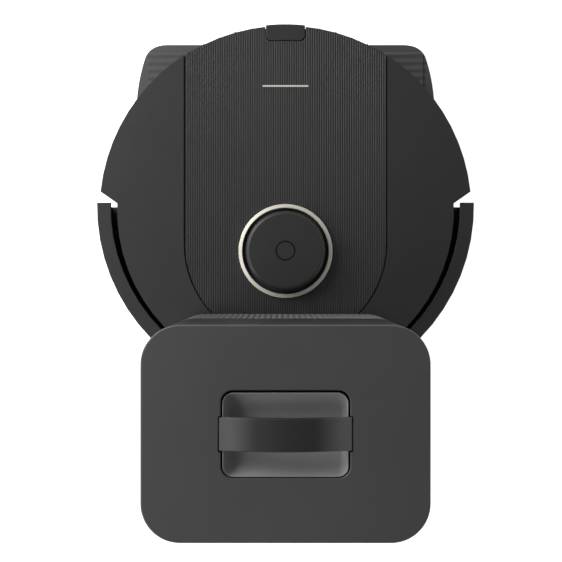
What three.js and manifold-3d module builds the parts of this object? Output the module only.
// A round robot vacuum parked in its self-emptying dock. Millimetres, +Z up, the dock's wall side
// towards +Y. The origin is on the floor, under the middle of the whole object's box.
import * as THREE from "three";
import { mergeVertices } from "three/addons/utils/BufferGeometryUtils.js";
import Module from "manifold-3d";

const wasm = await Module();
wasm.setup();

// ---- Driving dimensions -------------------------------------------------------------------
const GAP = 0.3; // between pieces that seat on or in each other
const RUN = 0.6; // between a piece that moves and what it moves in

// Dock: base plate and tower
const PLATE_FRONT = -220;
const DOCK_BACK = 220;
const PLATE_HALF = 152;
const PLATE_EDGE = 2; // height of the ramp's front edge
const RAMP_SLOPE = 0.019; // rise of the ramp per millimetre
const PLATE_UNDER = 0.5; // the plate's underside stands on its feet
const TOWER_HALF = 102.5;
const TOWER_DEPTH = 154;
const TOWER_TOP = 311;
const TOWER_CORNER = 28;
const TOWER_WALL = 3;
const TOWER_SET_BACK = 15.2; // from the dock's back to the tower's rear wall
const HEAD_CLEAR = 9; // from the parked robot's deck to the overhanging head
const COLUMN_HALF = 84;
const COLUMN_DEPTH = 70;
const LID_THICK = 7;

// Robot: the shell, seen from its own centre on the ground
const WHEEL_R = 35;
const BODY_R = 173.5;
const BODY_TOP = 2 * WHEEL_R + 10; // the deck clears the wheels at full lift
const UNDERSIDE = 9; // ground clearance
const SHELL = 2.5; // side walls
const DECK = 4; // top deck
const FLOOR = 3; // bottom tray
const SPLIT = 26; // where the tray meets the upper housing
const FRONT_R = BODY_R - 16.5; // the shell behind the bumper
const FRONT_BACK = 1; // that circle's centre, behind the robot's centre
const CORNER_Y = -18; // the rear circle ends here on each side
const SHOULDER_Y = -7; // and the front circle starts here
const BUMPER_R = BODY_R + 3;
const BUMPER_BACK = 4.5;
const BUMPER_END = -8;
const BUMPER_WIDE = 13;
const BUMPER_WALL = 3;
const BUMPER_TRAVEL = 2.5;
const BUMPER_LOW = 14;
const BUMPER_HIGH = BODY_TOP - 3;
const PANEL_HALF = 95; // ribbed centre panel
const PANEL_THICK = 2.2;
const PANEL_FRONT_Y = 31; // centre of the panel's round front
const TURRET_Y = 37.5;
const RING_R = 43.7;
const RING_WIDE = 3.7;
const CAP_R = 36.5;
const CAP_EDGE = 3.7;
const CAP_TOP = BODY_TOP + 16.5;
const CAP_TRAVEL = 1.5;
const WHEEL_WIDE = 22;
const WHEEL_X = 119;
const ROLLER_R = 15;
const ROLLER_HALF = 82;
const ROLLER_CLEAR = 3.5;
const BIN_HALF = 92;
const BIN_TOP = BODY_TOP - 10;
const CASTER_R = 13;
const CASTER_Y = 125;
const BRUSH_ARM = 55;

// ---- Places worked out from them ----------------------------------------------------------
const LANE_RISE = 2.4; // ribbed wheel lanes over the ramp
const LANE_IN = 88;
const LANE_OUT = 140;
const RIB_PITCH = 7.5;
const TOWER_BACK = DOCK_BACK - TOWER_SET_BACK;
const TOWER_FRONT = TOWER_BACK - TOWER_DEPTH;
const COLUMN_FRONT = TOWER_BACK - COLUMN_DEPTH;
const NOSE_GAP = 7.6; // from the column to the parked bumper
const ROBOT_Y = COLUMN_FRONT - NOSE_GAP - (BUMPER_R - BUMPER_BACK);
const rampTop = (y) => PLATE_EDGE + RAMP_SLOPE * (y - PLATE_FRONT);
const RIDE = rampTop(ROBOT_Y) + LANE_RISE + GAP; // the robot's ground plane when parked
const HEAD_UNDER = RIDE + BODY_TOP + HEAD_CLEAR;
const TOWER_Y = (TOWER_FRONT + TOWER_BACK) / 2;
const LID_UNDER = TOWER_TOP - LID_THICK;
const ROLLER_Y = [-6, -10 - 2 * ROLLER_R]; // the two rollers, side by side
const BRUSH_FRONT = ROLLER_Y[0] + ROLLER_R + 5;
const BRUSH_REAR = ROLLER_Y[1] - ROLLER_R - 5;
const BIN_FRONT = BRUSH_REAR - 4;
const PORT_X = -62; // dust port between robot and dock
const PORT_Y = BRUSH_REAR - 30; // in the robot's frame
const PORT_HALF = 22;
const PAD_X = 33; // charging contacts
const PAD_Y = 88;

// ---- Helpers ------------------------------------------------------------------------------
function solid(geometry) {
  const plain = geometry.index ? geometry.toNonIndexed() : geometry.clone();
  plain.deleteAttribute("normal");
  plain.deleteAttribute("uv");
  const merged = mergeVertices(plain, 1e-3);
  return new wasm.Manifold(
    new wasm.Mesh({
      numProp: 3,
      vertProperties: merged.attributes.position.array,
      triVerts: new Uint32Array(merged.index.array),
    }),
  );
}

function geometryOf(made) {
  const mesh = made.getMesh();
  const points = new Float32Array(mesh.numVert * 3);
  for (let i = 0; i < mesh.numVert; i++) {
    points.set(mesh.vertProperties.subarray(i * mesh.numProp, i * mesh.numProp + 3), i * 3);
  }
  const geometry = new THREE.BufferGeometry();
  geometry.setAttribute("position", new THREE.BufferAttribute(points, 3));
  geometry.setIndex(new THREE.BufferAttribute(new Uint32Array(mesh.triVerts), 1));
  return geometry;
}

const cut = (base, ...tools) =>
  geometryOf(tools.reduce((made, tool) => made.subtract(solid(tool)), solid(base)));
const join = (base, ...more) =>
  geometryOf(more.reduce((made, next) => made.add(solid(next)), solid(base)));
const common = (a, b) => geometryOf(solid(a).intersect(solid(b)));

const FINE = 16; // steps of the shell's own large curves; small arcs take fewer

// An outline in plan, raised from low to high.
function slab(shape, low, high, curveSegments = 6) {
  const options = { depth: high - low, bevelEnabled: false, curveSegments };
  return new THREE.ExtrudeGeometry(shape, options).translate(0, 0, low);
}

function block(x0, x1, y0, y1, z0, z1) {
  const box = new THREE.BoxGeometry(x1 - x0, y1 - y0, z1 - z0);
  return box.translate((x0 + x1) / 2, (y0 + y1) / 2, (z0 + z1) / 2);
}

// A profile of [radius, height] pairs turned about the Z axis.
function turned(profile, sides = 32) {
  const points = profile.map(([r, z]) => new THREE.Vector2(r, z));
  return new THREE.LatheGeometry(points, sides).rotateX(Math.PI / 2);
}

const disc = (radius, low, high, sides = 32) =>
  turned([[0, low], [radius, low], [radius, high], [0, high]], sides);
const ring = (outer, inner, low, high, sides = 32) =>
  turned([[inner, low], [outer, low], [outer, high], [inner, high], [inner, low]], sides);
const alongX = (geometry) => geometry.rotateY(Math.PI / 2);
const at = (geometry, x, y, z = 0) => geometry.translate(x, y, z);

// An outline of [y, z] pairs, extruded across from x0 to x1.
function across(outline, x0, x1) {
  const shape = new THREE.Shape(outline.map(([y, z]) => new THREE.Vector2(y, z)));
  const flat = new THREE.ExtrudeGeometry(shape, { depth: x1 - x0, bevelEnabled: false });
  return flat.rotateY(Math.PI / 2).rotateX(Math.PI / 2).translate(x0, 0, 0);
}

function roundedBox(x0, x1, y0, y1, r) {
  const shape = new THREE.Shape();
  shape.absarc(x1 - r, y0 + r, r, -Math.PI / 2, 0);
  shape.absarc(x1 - r, y1 - r, r, 0, Math.PI / 2);
  shape.absarc(x0 + r, y1 - r, r, Math.PI / 2, Math.PI);
  shape.absarc(x0 + r, y0 + r, r, Math.PI, 1.5 * Math.PI);
  return shape;
}

const FINISH = {
  shell: { color: 0x3a3b3c, roughness: 0.55, metalness: 0 },
  ribbed: { color: 0x353536, roughness: 0.5, metalness: 0 },
  dock: { color: 0x444546, roughness: 0.6, metalness: 0 },
  inner: { color: 0x222324, roughness: 0.7, metalness: 0 },
  champagne: { color: 0xb8b3a4, roughness: 0.3, metalness: 0.9 },
  rubber: { color: 0x1c1c1d, roughness: 0.9, metalness: 0 },
  bristle: { color: 0x5a5d60, roughness: 0.8, metalness: 0 },
  window: { color: 0x0c0c10, roughness: 0.1, metalness: 0 },
  smoke: { color: 0x2c2e33, roughness: 0.2, metalness: 0 },
  steel: { color: 0xb0b2b4, roughness: 0.3, metalness: 1 },
  brass: { color: 0xc6a35a, roughness: 0.35, metalness: 1 },
  board: { color: 0x1d5b3a, roughness: 0.6, metalness: 0 },
  battery: { color: 0x2d4f78, roughness: 0.5, metalness: 0 },
  filter: { color: 0xe6e4dc, roughness: 0.95, metalness: 0 },
  bag: { color: 0xd9d5cb, roughness: 0.95, metalness: 0 },
};

function piece(group, name, finish, geometry, x = 0, y = 0, z = 0) {
  const mesh = new THREE.Mesh(geometry, new THREE.MeshStandardMaterial(FINISH[finish]));
  mesh.name = name;
  mesh.position.set(x, y, z);
  group.add(mesh);
}

const part = new THREE.Group();
const dock = new THREE.Group();
const robot = new THREE.Group();
robot.position.set(0, ROBOT_Y, RIDE);
part.add(dock, robot);

// ---- Robot: shell -------------------------------------------------------------------------
// The robot's plan: a full circle behind, a smaller circle in front where the bumper goes round.
function bodyOutline(inset = 0) {
  const rear = BODY_R - inset;
  const front = FRONT_R - inset;
  const corner = Math.asin(CORNER_Y / rear);
  const shoulder = Math.asin((SHOULDER_Y + FRONT_BACK) / front);
  const shape = new THREE.Shape();
  shape.absarc(0, 0, rear, Math.PI - corner, 2 * Math.PI + corner);
  shape.absarc(0, -FRONT_BACK, front, shoulder, Math.PI - shoulder);
  return shape;
}

// The dust bin's plan: its rear wall is a stretch of the robot's own circle.
function binOutline(inset = 0) {
  const half = BIN_HALF - inset;
  const radius = BODY_R - inset;
  const side = Math.acos(half / radius);
  const shape = new THREE.Shape();
  shape.absarc(0, 0, radius, Math.PI + side, 2 * Math.PI - side);
  shape.lineTo(half, BIN_FRONT - inset);
  shape.lineTo(-half, BIN_FRONT - inset);
  return shape;
}

// The centre panel's plan: straight sides, a round front, and the rear rim behind.
function panelOutline(inset = 0) {
  const half = PANEL_HALF - inset;
  const rear = BODY_R - inset;
  const side = Math.acos(half / rear);
  const shape = new THREE.Shape();
  shape.absarc(0, 0, rear, Math.PI + side, 2 * Math.PI - side);
  shape.absarc(0, PANEL_FRONT_Y, half, 0, Math.PI);
  return shape;
}

const LATCH_HALF = 18.3;
const LATCH_DEEP = 14.5;
const LATCH_CUT = 3.5; // chamfer of its inner corners
const LATCH_PROUD = 0.8;
const LATCH_TRAVEL = 1.2;

function latchOutline(inset = 0) {
  const half = LATCH_HALF - inset;
  const inner = -BODY_R + LATCH_DEEP - inset;
  const rear = BODY_R + LATCH_PROUD;
  const side = Math.acos(half / rear);
  const shape = new THREE.Shape();
  shape.absarc(0, 0, rear, Math.PI + side, 2 * Math.PI - side);
  shape.lineTo(half, inner - LATCH_CUT);
  shape.lineTo(half - LATCH_CUT, inner);
  shape.lineTo(LATCH_CUT - half, inner);
  shape.lineTo(-half, inner - LATCH_CUT);
  return shape;
}

const WELL_IN = 91;
const WELL_OUT = WHEEL_X + WHEEL_WIDE / 2 + 3;
const WELL_REAR = -WHEEL_R - 4;
const PIVOT_Y = 48; // suspension pivot
const PIVOT_Z = 40;
const WELL_FRONT = PIVOT_Y + 14;
const CASTER_WELL = 24.5;
const SIDE_BRUSH_X = 94;
const SIDE_BRUSH_Y = 92;
const SIDE_SHAFT = 4;
const BUTTON_R = 6;
const BUTTON_X = 9.5;
const BUTTON_Y = 106;
const BUTTON_TRAVEL = 0.8;
const PAD_LONG = 28;
const PAD_DEEP = 12;
const GUARD_HALF = ROLLER_HALF + 8;
const STEM_R = 5;
const CASTER_ROOF = 38;
const GEAR_TOP = 40; // case of the rollers' gears, moulded on the tray
const RIM_UNDER = 4; // the dust port's collar reaches down to here

// The shell's wall ring, hollow above the floor and below the roof.
function shellBand(low, high, floor, roof) {
  return cut(slab(bodyOutline(), low, high, FINE), slab(bodyOutline(SHELL), floor, roof, FINE));
}

const padBlock = (clear, low, high) =>
  block(-PAD_LONG / 2 - clear, PAD_LONG / 2 + clear, -PAD_DEEP / 2 - clear, PAD_DEEP / 2 + clear, low, high);

function makeChassis() {
  const inner = UNDERSIDE + FLOOR;
  let tray = shellBand(UNDERSIDE, SPLIT, inner, SPLIT + 1);
  const socket = disc(CASTER_WELL + SHELL, inner - 1, CASTER_ROOF + FLOOR);
  const collar = block(-PORT_HALF, PORT_HALF, -PORT_HALF, PORT_HALF, RIM_UNDER, inner - 1);
  const gearCase = block(ROLLER_HALF + 2.5, WELL_IN - 1, BRUSH_REAR + 4, BRUSH_FRONT - 4,
    inner - 1, GEAR_TOP);
  tray = join(tray, at(socket, 0, CASTER_Y), at(collar, PORT_X, PORT_Y), gearCase);
  const port = PORT_HALF - 2;
  return cut(
    tray,
    at(disc(CASTER_WELL, 0, CASTER_ROOF), 0, CASTER_Y),
    at(disc(STEM_R + RUN, 0, SPLIT * 2), 0, CASTER_Y),
    at(block(-port, port, -port, port, 0, SPLIT), PORT_X, PORT_Y),
    block(WELL_IN, WELL_OUT, WELL_REAR, WELL_FRONT, 0, SPLIT - 2 * SHELL),
    block(-WELL_OUT, -WELL_IN, WELL_REAR, WELL_FRONT, 0, SPLIT - 2 * SHELL),
    block(-ROLLER_HALF - 2, ROLLER_HALF + 2, BRUSH_REAR, BRUSH_FRONT, 0, SPLIT),
    block(-BIN_HALF - RUN, BIN_HALF + RUN, -BODY_R - 1, BIN_FRONT, inner + GAP, SPLIT + 1),
    at(disc(SIDE_SHAFT + RUN, 0, SPLIT), SIDE_BRUSH_X, SIDE_BRUSH_Y),
    ...[-1, 1].map((side) => at(padBlock(GAP, 0, SPLIT), side * PAD_X, PAD_Y)),
  );
}

const WINDOW_Y = -42; // cliff and wall sensor window in the right side wall
const WINDOW_HALF = 12;
const WINDOW_Z = 48;
const WINDOW_TALL = 9;

// A block that takes in the side wall where the wall sensor looks out.
const windowBlock = (clear) =>
  block(BODY_R - 14, BODY_R + 5, WINDOW_Y - WINDOW_HALF - clear, WINDOW_Y + WINDOW_HALF + clear,
    WINDOW_Z - WINDOW_TALL - clear, WINDOW_Z + WINDOW_TALL + clear);

const buttonHoles = () =>
  [-1, 1].map((side) => at(disc(BUTTON_R + RUN, 0, BODY_TOP + 1, 20), side * BUTTON_X, BUTTON_Y));

function makeUpperHousing() {
  const low = SPLIT + GAP;
  return cut(
    shellBand(low, BODY_TOP, low - 1, BODY_TOP - DECK),
    slab(panelOutline(), BODY_TOP - PANEL_THICK - GAP, BODY_TOP + 1, FINE),
    at(disc(RING_R + RUN, 0, BODY_TOP + 1), 0, TURRET_Y),
    block(-BIN_HALF - RUN, BIN_HALF + RUN, -BODY_R - 1, BIN_FRONT, 0, BIN_TOP + RUN),
    slab(latchOutline(-RUN), BIN_TOP - 1, BODY_TOP + 1),
    ...buttonHoles(),
    windowBlock(GAP),
  );
}

function makeCenterPanel() {
  return cut(
    slab(panelOutline(1.5), BODY_TOP - PANEL_THICK, BODY_TOP, FINE),
    at(disc(RING_R + RUN, 0, BODY_TOP + 1), 0, TURRET_Y),
    slab(latchOutline(-RUN), 0, BODY_TOP + 1),
    ...buttonHoles(),
  );
}

piece(robot, "chassis", "inner", makeChassis());
piece(robot, "upper_housing", "shell", makeUpperHousing());
piece(robot, "center_panel", "ribbed", makeCenterPanel());
piece(robot, "wall_sensor_window", "window",
  common(shellBand(SPLIT, BODY_TOP, SPLIT - 1, BODY_TOP + 1), windowBlock(0)));

for (const [name, side] of [["power_button", -1], ["home_button", 1]]) {
  const low = BODY_TOP - PANEL_THICK - 3;
  piece(robot, name, "shell", disc(BUTTON_R, low, BODY_TOP + 0.4, 20), side * BUTTON_X, BUTTON_Y);
}

for (const [name, side] of [["charge_pad_left", -1], ["charge_pad_right", 1]]) {
  piece(robot, name, "brass", padBlock(0, UNDERSIDE - 1, UNDERSIDE + FLOOR - GAP), side * PAD_X, PAD_Y);
}

// ---- Robot: bumper ------------------------------------------------------------------------
function bumperBand(outer, inner, low, high) {
  const end = Math.asin((BUMPER_END + BUMPER_BACK) / outer);
  const innerEnd = Math.asin((BUMPER_END + BUMPER_BACK) / inner);
  const shape = new THREE.Shape();
  shape.absarc(0, -BUMPER_BACK, outer, end, Math.PI - end);
  shape.absarc(0, -BUMPER_BACK, inner, Math.PI - innerEnd, innerEnd, true);
  return slab(shape, low, high, FINE);
}

// The wedge that keeps the bumper's end clear of the shell's slanted side corner.
function endWedge(side) {
  const rearX = Math.sqrt(BODY_R ** 2 - CORNER_Y ** 2);
  const frontX = Math.sqrt(FRONT_R ** 2 - (SHOULDER_Y + FRONT_BACK) ** 2);
  const along = new THREE.Vector2(frontX - rearX, SHOULDER_Y - CORNER_Y).normalize();
  const out = new THREE.Vector2(along.y, -along.x);
  const clear = BUMPER_TRAVEL * out.y + RUN;
  const start = new THREE.Vector2(frontX, SHOULDER_Y).addScaledVector(out, clear);
  const corners = [[-40, 0], [12, 0], [12, -30], [-40, -30]].map(([a, b]) =>
    start.clone().addScaledVector(along, a).addScaledVector(out, b));
  return slab(new THREE.Shape(corners.map((p) => new THREE.Vector2(side * p.x, p.y))), 0, BODY_TOP);
}

const EYE_LOW = 38; // the dark sensor window across the bumper's nose
const EYE_HIGH = 60;
const EYE_HALF = 70;
const EYE_DEEP = 1.6;

function makeBumper() {
  const inner = BUMPER_R - BUMPER_WIDE;
  const band = bumperBand(BUMPER_R, inner, BUMPER_LOW, BUMPER_HIGH);
  const roof = BUMPER_HIGH - BUMPER_WALL;
  const hollow = bumperBand(BUMPER_R - BUMPER_WALL, inner - 2, BUMPER_LOW + BUMPER_WALL, roof);
  const eye = common(
    bumperBand(BUMPER_R + 2, BUMPER_R - EYE_DEEP, EYE_LOW, EYE_HIGH),
    block(-EYE_HALF, EYE_HALF, 0, 2 * BUMPER_R, 0, BODY_TOP),
  );
  return cut(band, hollow, endWedge(1), endWedge(-1), eye);
}

piece(robot, "bumper", "shell", makeBumper());
piece(robot, "bumper_window", "window", common(
  bumperBand(BUMPER_R, BUMPER_R - EYE_DEEP + GAP, EYE_LOW + GAP, EYE_HIGH - GAP),
  block(GAP - EYE_HALF, EYE_HALF - GAP, 0, 2 * BUMPER_R, 0, BODY_TOP),
));

// ---- Robot: laser turret ------------------------------------------------------------------
const HUB_R = 22; // the rotor's belt hub
const HUB_LOW = BODY_TOP - 20;
const BASE_LOW = BODY_TOP - 14;
const BASE_IN = 31;
const POST_AT = 34;
const POST_TOP = BODY_TOP + 7.5;
const CAP_LOW = POST_TOP + CAP_TRAVEL + RUN;
const PIN_R = 1.1;
const PULLEY_R = 5;
const BELT = 1.2;
const BELT_LOW = HUB_LOW + 1.5;
const BELT_HIGH = BASE_LOW - 0.5;
const LIDAR_MOTOR_X = 58;
const POSTS = [45, 165, 285].map((degrees) => (degrees / 180) * Math.PI);
const round = (radius, angle) => [radius * Math.cos(angle), radius * Math.sin(angle)];
const atPosts = (make) => POSTS.map((angle) => at(make(), ...round(POST_AT, angle)));

function makeTurretBase() {
  const base = join(
    ring(RING_R, BASE_IN, BASE_LOW, BODY_TOP - 0.5),
    ring(RING_R + 6, BASE_IN, BODY_TOP - DECK - 4, BODY_TOP - DECK - GAP),
    ...atPosts(() => disc(2.4, BASE_LOW + 1, POST_TOP, 12)),
  );
  return cut(base, ...atPosts(() => disc(PIN_R + 0.3, BASE_LOW + 6, POST_TOP + 1, 10)));
}

function makeTurretCap() {
  const steps = 3;
  const edge = [];
  for (let i = 0; i <= steps; i++) {
    const [r, z] = round(CAP_EDGE, (i / steps) * (Math.PI / 2));
    edge.push([CAP_R - CAP_EDGE + r, CAP_TOP - CAP_EDGE + z]);
  }
  const hollow = CAP_R - 5;
  const under = [[0, CAP_TOP - 2.5], [hollow, CAP_TOP - 2.5], [hollow, CAP_LOW], [CAP_R, CAP_LOW]];
  const cap = turned([...under, ...edge, [0, CAP_TOP]]);
  return join(cap, ...atPosts(() => disc(PIN_R, BASE_LOW + 9, CAP_LOW + 1, 8)));
}

function beltOutline(big, small) {
  const lean = Math.acos((big - small) / LIDAR_MOTOR_X);
  const shape = new THREE.Shape();
  shape.absarc(0, 0, big, lean, 2 * Math.PI - lean);
  shape.absarc(LIDAR_MOTOR_X, 0, small, -lean, lean);
  return shape;
}

piece(robot, "turret_ring", "champagne",
  ring(RING_R, RING_R - RING_WIDE, BODY_TOP - 0.2, BODY_TOP + 4), 0, TURRET_Y);
piece(robot, "turret_base", "inner", makeTurretBase(), 0, TURRET_Y);
piece(robot, "turret_cap", "shell", makeTurretCap(), 0, TURRET_Y);
piece(robot, "lidar_rotor", "inner", cut(
  turned([[0, HUB_LOW], [HUB_R, HUB_LOW], [HUB_R, BASE_LOW], [BASE_IN - 2, BASE_LOW + 4],
    [BASE_IN - 2, BASE_LOW + 6], [25, BASE_LOW + 6], [25, POST_TOP - 1], [0, POST_TOP - 1]]),
  block(-9, 9, 16, 30, BASE_LOW + 9, POST_TOP - 5),
), 0, TURRET_Y);
piece(robot, "lidar_belt", "rubber", cut(
  slab(beltOutline(HUB_R + GAP + BELT, PULLEY_R + GAP + BELT), BELT_LOW, BELT_HIGH, 12),
  slab(beltOutline(HUB_R + GAP, PULLEY_R + GAP), BELT_LOW - 1, BELT_HIGH + 1, 12),
), 0, TURRET_Y);
piece(robot, "lidar_pulley", "inner",
  turned([[0, HUB_LOW - 1], [1.5, HUB_LOW - 1], [1.5, HUB_LOW + 0.8], [PULLEY_R, HUB_LOW + 0.8],
    [PULLEY_R, BASE_LOW], [0, BASE_LOW]], 20), LIDAR_MOTOR_X, TURRET_Y);
piece(robot, "lidar_motor", "steel",
  disc(12, HUB_LOW - 22, HUB_LOW - 1 - RUN, 24), LIDAR_MOTOR_X, TURRET_Y);

// ---- Robot: drive wheels, caster and brushes ----------------------------------------------
const HUB_OUT = WHEEL_R - 9;

// A tyre with a row of cleats round it, its axle along X.
function makeTyre() {
  const cleats = 14;
  const sides = cleats * 4;
  const outline = new THREE.Shape();
  for (let i = 0; i < sides; i++) {
    const radius = i % 4 < 2 ? WHEEL_R : WHEEL_R - 1.8;
    const [x, y] = round(radius, ((i + 0.5) / sides) * 2 * Math.PI - Math.PI / 2);
    if (i === 0) outline.moveTo(x, y);
    else outline.lineTo(x, y);
  }
  const tread = slab(outline, -WHEEL_WIDE / 2, WHEEL_WIDE / 2);
  return alongX(cut(tread, disc(HUB_OUT + GAP, -WHEEL_WIDE, WHEEL_WIDE, 28)));
}

function makeHub() {
  const rim = ring(HUB_OUT, HUB_OUT - 3, -WHEEL_WIDE / 2 + 1, WHEEL_WIDE / 2 - 1, 28);
  const spokes = [0, 1, 2, 3, 4].map((i) =>
    block(4, HUB_OUT - 2, -2.5, 2.5, 1, 7).rotateZ((i / 5) * 2 * Math.PI));
  const boss = disc(6, -WHEEL_WIDE / 2 + 1, WHEEL_WIDE / 2 - 2, 20);
  return join(rim, boss, ...spokes);
}

for (const [name, side] of [["left", -1], ["right", 1]]) {
  const inner = WHEEL_X - WHEEL_WIDE / 2 - RUN - 0.4;
  const outer = WELL_IN + 1.5;
  const arm = join(
    alongX(disc(22, outer, inner, 28)),
    block(outer, inner, 0, PIVOT_Y - 2, -4, 16),
    at(alongX(disc(8, outer, inner, 20)), 0, PIVOT_Y, PIVOT_Z - WHEEL_R),
  );
  const hub = alongX(makeHub());
  const wheelX = side * WHEEL_X;
  if (side < 0) {
    arm.rotateY(Math.PI).scale(1, 1, -1);
    arm.setIndex(new THREE.BufferAttribute(new Uint32Array(arm.index.array).reverse(), 1));
    hub.rotateY(Math.PI);
  }
  piece(robot, `${name}_drive_unit`, "inner", arm, 0, 0, WHEEL_R);
  piece(robot, `${name}_wheel_hub`, "inner", hub, wheelX, 0, WHEEL_R);
  piece(robot, `${name}_tyre`, "rubber", makeTyre(), wheelX, 0, WHEEL_R);
}

const CASTER_TRAIL = 7;
const CASTER_HALF = 8;
const FORK_LOW = CASTER_R * 2 + 1;

function makeCasterFork() {
  const cheek = (x0, x1) => block(x0, x1, -CASTER_TRAIL - 5, 6, CASTER_R - 4, FORK_LOW + 1);
  return join(
    disc(CASTER_WELL - 2.5, FORK_LOW, FORK_LOW + 6),
    disc(STEM_R, FORK_LOW, CASTER_ROOF + FLOOR + 4, 20),
    cheek(CASTER_HALF + RUN, CASTER_HALF + 4),
    cheek(-CASTER_HALF - 4, -CASTER_HALF - RUN),
  );
}

piece(robot, "caster_fork", "inner", makeCasterFork(), 0, CASTER_Y);
piece(robot, "caster_wheel", "rubber",
  alongX(turned([[0, -CASTER_HALF], [CASTER_R - 1.5, -CASTER_HALF], [CASTER_R, 1.5 - CASTER_HALF],
    [CASTER_R, CASTER_HALF - 1.5], [CASTER_R - 1.5, CASTER_HALF], [0, CASTER_HALF]], 28)),
  0, CASTER_Y - CASTER_TRAIL, CASTER_R);

// A brush roller along X: a core with raised vanes, the same section all along.
function makeRoller(turn) {
  const vanes = 6;
  const shape = new THREE.Shape();
  for (let i = 0; i < vanes * 4; i++) {
    const radius = i % 4 < 1 || i % 4 > 2 ? ROLLER_R : ROLLER_R - 3.5;
    const [x, y] = round(radius, ((i + turn) / (vanes * 4)) * 2 * Math.PI);
    if (i === 0) shape.moveTo(x, y);
    else shape.lineTo(x, y);
  }
  return alongX(slab(shape, -ROLLER_HALF, ROLLER_HALF));
}

const ROLLER_Z = ROLLER_CLEAR + ROLLER_R;
piece(robot, "front_roller", "rubber", makeRoller(0), 0, ROLLER_Y[0], ROLLER_Z);
piece(robot, "rear_roller", "rubber", makeRoller(2), 0, ROLLER_Y[1], ROLLER_Z);
piece(robot, "brush_guard", "shell", cut(
  block(-GUARD_HALF, GUARD_HALF, BRUSH_REAR - 3, BRUSH_FRONT + 3, UNDERSIDE - GAP - 3, UNDERSIDE - GAP),
  block(-ROLLER_HALF - 1.5, ROLLER_HALF + 1.5, BRUSH_REAR + 2, BRUSH_FRONT - 2, 0, SPLIT),
));

const BRUSH_LOW = 3.5;
const BRUSH_HIGH = 6;
const SIDE_MOTOR_LOW = UNDERSIDE + FLOOR + 2;

function makeSideBrush() {
  const radial = Math.atan2(SIDE_BRUSH_Y, SIDE_BRUSH_X);
  const arms = [1, 3, 5].map((sixth) =>
    block(3, BRUSH_ARM, -2.2, 2.2, BRUSH_LOW, BRUSH_HIGH).rotateZ(radial + (sixth * Math.PI) / 3));
  const shaft = disc(SIDE_SHAFT, BRUSH_HIGH, SIDE_MOTOR_LOW - RUN, 16);
  return join(disc(10, BRUSH_LOW - 0.5, BRUSH_HIGH + 1, 24), shaft, ...arms);
}

piece(robot, "side_brush", "bristle", makeSideBrush(), SIDE_BRUSH_X, SIDE_BRUSH_Y);
piece(robot, "side_brush_motor", "inner", disc(13, SIDE_MOTOR_LOW, 46, 24), SIDE_BRUSH_X, SIDE_BRUSH_Y);

// ---- Robot: dust bin, fan, battery and board ----------------------------------------------
const BIN_LOW = UNDERSIDE + FLOOR + RUN;
const BIN_WALL = 2.2;
const COVER_THICK = 3;

function makeDustBin() {
  const port = PORT_HALF - 3;
  return cut(
    slab(binOutline(), BIN_LOW, BIN_TOP - COVER_THICK - GAP, FINE),
    slab(binOutline(BIN_WALL), BIN_LOW + BIN_WALL, BIN_TOP, FINE),
    at(block(-port, port, -port, port, 0, BIN_LOW + BIN_WALL + 1), PORT_X, PORT_Y - 3),
    block(-55, 55, BIN_FRONT - BIN_WALL - 1, BIN_FRONT + 1, 22, 44),
  );
}

const FAN_X = -76;
const FAN_Y = 90;
const FAN_R = 25;

// An impeller on the Z axis: a back plate, a hub and bent blades.
function makeImpeller(radius, low, high, blades) {
  const made = [disc(radius * 0.3, low, high, 20)];
  for (let i = 0; i < blades; i++) {
    const blade = block(radius * 0.25, radius - 1, -0.8, 0.8, low + 1, high - 1);
    made.push(blade.rotateZ((i / blades) * 2 * Math.PI));
  }
  return join(disc(radius, low, low + 2, 32), ...made);
}

piece(robot, "dust_bin", "smoke", makeDustBin());
piece(robot, "bin_cover", "inner", slab(binOutline(), BIN_TOP - COVER_THICK, BIN_TOP, FINE));
piece(robot, "bin_filter", "filter", block(-58, 58, BIN_FRONT - BIN_WALL - 14, BIN_FRONT - BIN_WALL - GAP,
  BIN_LOW + BIN_WALL + 6, BIN_TOP - COVER_THICK - 4));
piece(robot, "bin_latch", "shell", slab(latchOutline(), BIN_TOP + LATCH_TRAVEL + RUN, BODY_TOP));
piece(robot, "fan_housing", "inner",
  cut(disc(FAN_R, UNDERSIDE + FLOOR + GAP, 50), disc(FAN_R - 2, UNDERSIDE + FLOOR + 3, 51)), FAN_X, FAN_Y);
piece(robot, "fan_impeller", "shell", makeImpeller(FAN_R - 3.5, 18, 40, 7), FAN_X, FAN_Y);
piece(robot, "battery", "battery", block(-46, 44, 20, 95, UNDERSIDE + FLOOR + GAP, 50));
piece(robot, "main_board", "board", block(-45, 42, 22, 94, 52, 53.6));

// ---- Dock: base plate and duct ------------------------------------------------------------
const SHELF_END = COLUMN_FRONT - 5; // the ramp ends here and the tower's pad begins
const PAD_TOP = 10;
const COLUMN_LOW = PAD_TOP + GAP;
const DUCT_IN = PORT_X + PORT_HALF + 2;
const DUCT_OUT = PORT_X - PORT_HALF - 2;
const DUCT_RISE = 4.3;
const DUCT_WALL = 1.5;
const DUCT_FRONT = ROBOT_Y + PORT_Y - PORT_HALF - 4;
const DUCT_REAR = TOWER_BACK - 8;
const RISER_Y = TOWER_BACK - 38;
const RISER_HALF = 20;
const RISER_WALL = 2;
const SHELF_Z = 170; // shelf in the head, between the blower and the bag
const FOOT_R = 9;
const FOOT_TALL = 1.9;
const FEET = {
  foot_front_left: [-122, -172],
  foot_front_right: [122, -172],
  foot_rear_left: [-76, DOCK_BACK - FOOT_R - 2.5],
  foot_rear_right: [76, DOCK_BACK - FOOT_R - 2.5],
};
const PIN_TOP = RIDE + UNDERSIDE - 1.6;
const CONTACT_R = 3;

// A square block on the riser's axis: its half width and its ends.
const riserBlock = (half, low, high) => at(block(-half, half, -half, half, low, high), PORT_X, RISER_Y);

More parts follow.
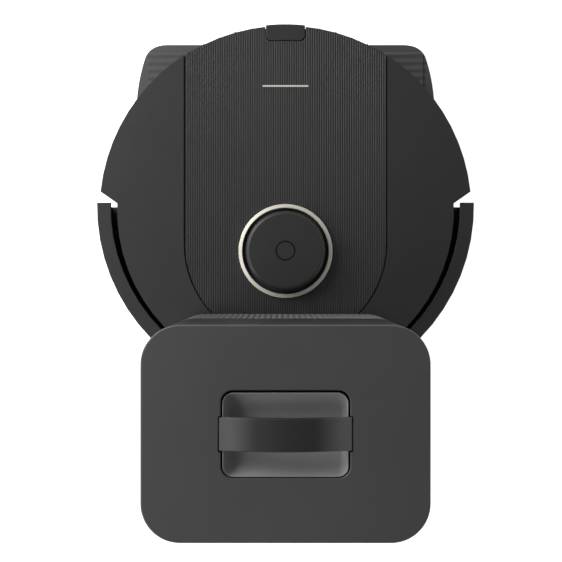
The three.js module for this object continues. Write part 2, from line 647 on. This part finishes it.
// The plate's plan: rounded front corners that flare to full width, then a taper to the tower.
function plateOutline() {
  const nose = PLATE_HALF - 12;
  const shape = new THREE.Shape();
  shape.moveTo(nose - 20, PLATE_FRONT);
  shape.quadraticCurveTo(nose, PLATE_FRONT, nose + 4, PLATE_FRONT + 16);
  shape.quadraticCurveTo(PLATE_HALF, PLATE_FRONT + 42, PLATE_HALF, PLATE_FRONT + 70);
  shape.lineTo(PLATE_HALF, ROBOT_Y);
  shape.quadraticCurveTo(PLATE_HALF, 10, COLUMN_HALF + 14, 80);
  shape.lineTo(COLUMN_HALF + 6, DOCK_BACK);
  shape.lineTo(-COLUMN_HALF - 6, DOCK_BACK);
  shape.lineTo(-COLUMN_HALF - 14, 80);
  shape.quadraticCurveTo(-PLATE_HALF, 10, -PLATE_HALF, ROBOT_Y);
  shape.lineTo(-PLATE_HALF, PLATE_FRONT + 70);
  shape.quadraticCurveTo(-PLATE_HALF, PLATE_FRONT + 42, -nose - 4, PLATE_FRONT + 16);
  shape.quadraticCurveTo(-nose, PLATE_FRONT, 20 - nose, PLATE_FRONT);
  return shape;
}

// A wheel lane: a raised strip with a row of ribs across it.
function makeLane(x0, x1) {
  const first = PLATE_FRONT + 8;
  const ribs = Math.floor((ROBOT_Y + 30 - first) / RIB_PITCH);
  const outline = [];
  for (let i = 0; i < ribs; i++) {
    const y = first + i * RIB_PITCH;
    outline.push([y, rampTop(y) + LANE_RISE - 1]);
    outline.push([y + 1.5, rampTop(y) + LANE_RISE]);
    outline.push([y + 3.5, rampTop(y) + LANE_RISE]);
    outline.push([y + 5, rampTop(y) + LANE_RISE - 1]);
  }
  outline.push([first + ribs * RIB_PITCH, PLATE_UNDER + 1], [first, PLATE_UNDER + 1]);
  return across(outline.reverse(), x0, x1);
}

function makePlate() {
  const side = [[PLATE_FRONT, PLATE_UNDER], [DOCK_BACK, PLATE_UNDER], [DOCK_BACK, PAD_TOP],
    [SHELF_END, PAD_TOP], [SHELF_END, rampTop(SHELF_END)], [PLATE_FRONT, PLATE_EDGE]];
  const ramp = across(side, -PLATE_HALF, PLATE_HALF);
  const ribbed = join(ramp, makeLane(LANE_IN, LANE_OUT), makeLane(-LANE_OUT, -LANE_IN));
  return cut(
    common(ribbed, slab(plateOutline(), 0, 30, 8)),
    block(DUCT_OUT, DUCT_IN, DUCT_FRONT, DUCT_REAR, 0, 30),
    ...Object.values(FEET).map(([x, y]) => at(disc(FOOT_R + GAP, -1, FOOT_TALL + GAP, 24), x, y)),
    ...[-1, 1].map((s) => at(disc(CONTACT_R + 0.4, -1, 30, 16), s * PAD_X, ROBOT_Y + PAD_Y)),
  );
}

// A flat duct in the ramp, its mouth under the robot's bin and its outlet under the riser.
function makeDuct() {
  const bar = (inset) => {
    const top = (y) => rampTop(y) + DUCT_RISE - inset;
    const low = PLATE_UNDER + 0.3 + inset;
    const front = DUCT_FRONT + GAP + inset;
    const rear = DUCT_REAR - GAP - inset;
    const side = [[front, low], [rear, low], [rear, PAD_TOP - inset], [SHELF_END - GAP, PAD_TOP - inset],
      [SHELF_END - GAP, top(SHELF_END - GAP)], [front, top(front)]];
    return across(side, DUCT_OUT + GAP + inset, DUCT_IN - GAP - inset);
  };
  const mouth = PORT_HALF - 4;
  return cut(
    bar(0),
    bar(DUCT_WALL),
    riserBlock(RISER_HALF - RISER_WALL, PAD_TOP - 3, PAD_TOP + 1),
    at(block(-mouth, mouth, -mouth, mouth, PAD_TOP - 6, 30), PORT_X, ROBOT_Y + PORT_Y),
  );
}

function makeSeal() {
  const near = ROBOT_Y + PORT_Y - PORT_HALF;
  const far = ROBOT_Y + PORT_Y + PORT_HALF;
  const lift = DUCT_RISE + GAP;
  const side = [[near, rampTop(near) + lift], [far, rampTop(far) + lift], [far, rampTop(far) + lift + 1],
    [near, rampTop(near) + lift + 1]];
  const outer = across(side, PORT_X - PORT_HALF, PORT_X + PORT_HALF);
  const mouth = PORT_HALF - 3;
  return cut(outer, at(block(-mouth, mouth, -mouth, mouth, 0, 30), PORT_X, ROBOT_Y + PORT_Y));
}

piece(dock, "base_plate", "dock", makePlate());
piece(dock, "dust_duct", "inner", makeDuct());
piece(dock, "duct_riser", "inner", cut(
  riserBlock(RISER_HALF, PAD_TOP + GAP, SHELF_Z - GAP),
  riserBlock(RISER_HALF - RISER_WALL, PAD_TOP, SHELF_Z),
));
piece(dock, "suction_seal", "rubber", makeSeal());
for (const [name, [x, y]] of Object.entries(FEET)) {
  piece(dock, name, "rubber", disc(FOOT_R, 0, FOOT_TALL, 24), x, y);
}
for (const [name, side] of [["contact_pin_left", -1], ["contact_pin_right", 1]]) {
  piece(dock, name, "brass", disc(CONTACT_R, PLATE_UNDER + 2.5, PIN_TOP, 16), side * PAD_X, ROBOT_Y + PAD_Y);
}

// ---- Dock: tower --------------------------------------------------------------------------
const SKIN = 2.6; // the ribbed front skin
const SKIN_LOW = HEAD_UNDER + 6;
const SKIN_HIGH = 200;
const SKIN_BACK = TOWER_FRONT + 78;
const LIP = 6; // the lid's locating lip
const BLOWER_X = 45;
const BLOWER_Y = TOWER_Y;
const BLOWER_R = 40;

function towerOutline(inset = 0) {
  const half = TOWER_HALF - inset;
  return roundedBox(-half, half, TOWER_FRONT + inset, TOWER_BACK - inset, TOWER_CORNER - inset);
}

function makeHead() {
  const top = LID_UNDER - GAP;
  const groove = cut(
    slab(towerOutline(-1), SKIN_LOW, SKIN_HIGH),
    slab(towerOutline(SKIN + GAP), SKIN_LOW - 1, SKIN_HIGH + 1),
    block(-TOWER_HALF - 2, TOWER_HALF + 2, SKIN_BACK, DOCK_BACK, 0, TOWER_TOP),
  );
  const wall = SKIN + GAP + TOWER_WALL;
  return cut(
    slab(towerOutline(), HEAD_UNDER, top),
    groove,
    slab(towerOutline(wall), HEAD_UNDER + TOWER_WALL, SHELF_Z),
    slab(towerOutline(wall), SHELF_Z + TOWER_WALL, SKIN_HIGH + TOWER_WALL),
    slab(towerOutline(TOWER_WALL), SKIN_HIGH + TOWER_WALL - 1, top + 1),
    riserBlock(RISER_HALF + RUN, 0, SHELF_Z),
    riserBlock(RISER_HALF - RISER_WALL, 0, TOWER_TOP),
    at(disc(14, SHELF_Z - 1, SHELF_Z + 10, 24), BLOWER_X, BLOWER_Y),
  );
}

function makeRibbedFront() {
  return cut(
    slab(towerOutline(), SKIN_LOW + GAP, SKIN_HIGH - GAP),
    slab(towerOutline(SKIN), SKIN_LOW - 1, SKIN_HIGH + 1),
    block(-TOWER_HALF - 2, TOWER_HALF + 2, SKIN_BACK - GAP, DOCK_BACK, 0, TOWER_TOP),
  );
}

function makeColumn() {
  return cut(
    slab(roundedBox(-COLUMN_HALF, COLUMN_HALF, COLUMN_FRONT, TOWER_BACK, 14), COLUMN_LOW, HEAD_UNDER - GAP),
    block(TOWER_WALL - COLUMN_HALF, COLUMN_HALF - TOWER_WALL, COLUMN_FRONT + TOWER_WALL, DOCK_BACK,
      COLUMN_LOW + TOWER_WALL, HEAD_UNDER),
    riserBlock(RISER_HALF + RUN, 0, HEAD_UNDER),
  );
}

const COVER_TOP = 262;
const COVER_LEAN = 37;
const COVER_WALL = 2.5;
const INLET_X = 60;
const INLET_Z = 28;

function makeRearCover() {
  const half = COLUMN_HALF - 2;
  const body = (near, wall) => across([
    [near, COLUMN_LOW + wall],
    [DOCK_BACK - wall, COLUMN_LOW + wall],
    [DOCK_BACK - wall, COVER_TOP - COVER_LEAN],
    [TOWER_BACK + GAP + 3 - wall, COVER_TOP - wall],
    [near, COVER_TOP - wall],
  ], wall - half, half - wall);
  return cut(
    body(TOWER_BACK + GAP, 0),
    body(TOWER_BACK + GAP - 1, COVER_WALL),
    at(block(-12 - GAP, 12 + GAP, -30, 30, -8 - GAP, 8 + GAP), INLET_X, DOCK_BACK, INLET_Z),
  );
}

function makeInlet() {
  return cut(
    block(-12, 12, -14, -0.5, -8, 8),
    block(-8, 8, -11, 1, -4.5, 4.5),
  );
}

const HANDLE_HALF = 47;
const HANDLE_DEEP = 24;
const HANDLE_RISE = 6;
const HANDLE_THICK = 4.5;
const RECESS_X = 45.75;
const RECESS_Y = 31;
const RECESS_CORNER = 8.5;
const RECESS_DEEP = 16;
const HANDLE_SEAT = 5; // depth of the slots that take the handle's ends

function makeLid() {
  const rim = slab(towerOutline(), LID_UNDER, TOWER_TOP);
  const lip = cut(slab(towerOutline(TOWER_WALL + RUN), LID_UNDER - LIP, LID_UNDER + 1),
    slab(towerOutline(TOWER_WALL + RUN + 2), LID_UNDER - LIP - 1, LID_UNDER));
  const recess = (grow) => roundedBox(-RECESS_X - grow, RECESS_X + grow,
    TOWER_Y - RECESS_Y - grow, TOWER_Y + RECESS_Y + grow, RECESS_CORNER + grow);
  const bowl = slab(recess(2.5), TOWER_TOP - RECESS_DEEP - 2.5, LID_UNDER + 1);
  const slot = block(-HANDLE_HALF - GAP, HANDLE_HALF + GAP,
    TOWER_Y - HANDLE_DEEP / 2 - GAP, TOWER_Y + HANDLE_DEEP / 2 + GAP, TOWER_TOP - HANDLE_SEAT, TOWER_TOP + 1);
  return cut(join(rim, lip, bowl), slab(recess(0), TOWER_TOP - RECESS_DEEP, TOWER_TOP + 1), slot);
}

// A strap arched over the recess, its ends seated in the lid's slots.
function makeHandle() {
  const steps = 12;
  const top = [];
  const under = [];
  for (let i = 0; i <= steps; i++) {
    const x = HANDLE_HALF * (2 * (i / steps) - 1);
    const rise = HANDLE_RISE * Math.cos(((x / HANDLE_HALF) * Math.PI) / 2);
    top.push([x, TOWER_TOP - 0.5 + rise]);
    under.push([x, TOWER_TOP - 0.5 + rise - HANDLE_THICK + GAP]);
  }
  const shape = new THREE.Shape([...under, ...top.reverse()].map(([x, z]) => new THREE.Vector2(x, z)));
  const strap = new THREE.ExtrudeGeometry(shape, { depth: HANDLE_DEEP, bevelEnabled: false });
  return strap.rotateX(Math.PI / 2).translate(0, HANDLE_DEEP / 2, 0);
}

piece(dock, "dock_column", "dock", makeColumn());
piece(dock, "dock_head", "dock", makeHead());
piece(dock, "ribbed_front", "ribbed", makeRibbedFront());
piece(dock, "dock_rear_cover", "dock", makeRearCover());
piece(dock, "power_inlet", "inner", makeInlet(), INLET_X, DOCK_BACK, INLET_Z);
piece(dock, "dock_lid", "dock", makeLid());
piece(dock, "lid_handle", "dock", makeHandle(), 0, TOWER_Y);
piece(dock, "lid_seal", "rubber", cut(
  slab(towerOutline(TOWER_WALL + RUN + 2 + GAP), LID_UNDER - 2.5, LID_UNDER - GAP, 4),
  slab(towerOutline(TOWER_WALL + RUN + 5), LID_UNDER - 3, LID_UNDER, 4),
));

// ---- Dock: bag and blower -----------------------------------------------------------------
const BAG_LOW = SHELF_Z + TOWER_WALL + 6;
const BAG_HIGH = TOWER_TOP - RECESS_DEEP - 8;
const BAG_HALF = 82;
const BAG_FRONT = TOWER_FRONT + 22;
const BAG_REAR = TOWER_BACK - 14;

piece(dock, "bag_collar", "bag", cut(
  block(-28, 28, -22, 22, SHELF_Z + TOWER_WALL + GAP, SHELF_Z + TOWER_WALL + 4),
  disc(RISER_HALF - RISER_WALL, SHELF_Z, SHELF_Z + 10),
), PORT_X, RISER_Y);
piece(dock, "dust_bag", "bag",
  slab(roundedBox(-BAG_HALF, BAG_HALF, BAG_FRONT, BAG_REAR, 26), BAG_LOW, BAG_HIGH));
piece(dock, "dock_blower", "inner", cut(
  disc(BLOWER_R, HEAD_UNDER + TOWER_WALL + GAP, 152),
  disc(BLOWER_R - 3, HEAD_UNDER + TOWER_WALL + 4, 153),
), BLOWER_X, BLOWER_Y);
piece(dock, "dock_impeller", "shell",
  makeImpeller(BLOWER_R - 6, HEAD_UNDER + TOWER_WALL + 8, 140, 9), BLOWER_X, BLOWER_Y);

export default part;
